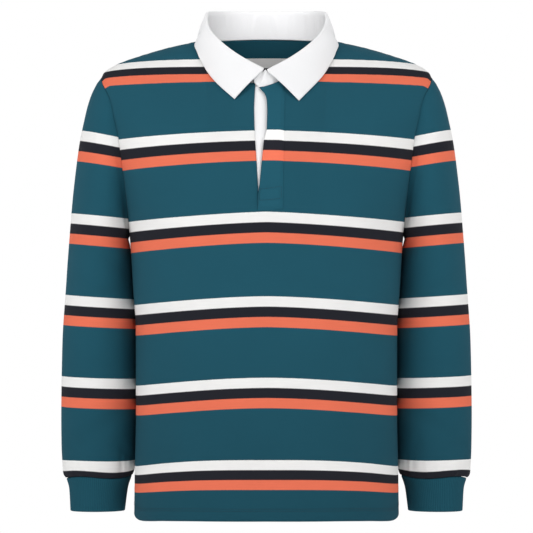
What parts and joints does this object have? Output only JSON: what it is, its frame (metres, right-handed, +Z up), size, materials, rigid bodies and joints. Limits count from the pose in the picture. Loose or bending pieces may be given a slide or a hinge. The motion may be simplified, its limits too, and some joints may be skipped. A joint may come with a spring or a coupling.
{
  "type": "long-sleeved rugby shirt",
  "caption": "Striped long-sleeved rugby shirt with a white fold-over collar, a hidden-button half placket and ribbed cuffs, filled out and hollow as it is worn.",
  "frame": {"origin": "midway between the two points where the shoulder seams meet the neck, which is where the wearer's shoulders hold the shirt up", "axes": "+Z up, -Y out of the front, +X towards the wearer's left"},
  "size_m": [0.6184, 0.2722, 0.7639],
  "materials": {
    "striped_jersey": "heavy matt cotton jersey, teal with level bands of off-white, navy black and orange",
    "rib": "fine one-by-one rib, teal, matt",
    "white_drill": "white cotton drill, matt, topstitched near its edges"
  },
  "bodies": {
    "root": {"front": "striped_jersey", "back": "striped_jersey", "sleeve_right": "striped_jersey", "sleeve_left": "striped_jersey", "cuff_right": "rib", "cuff_left": "rib", "collar_stand": "white_drill", "collar_fall": "white_drill", "placket_band": "striped_jersey", "placket_under": "white_drill"}
  },
  "joints": []
}
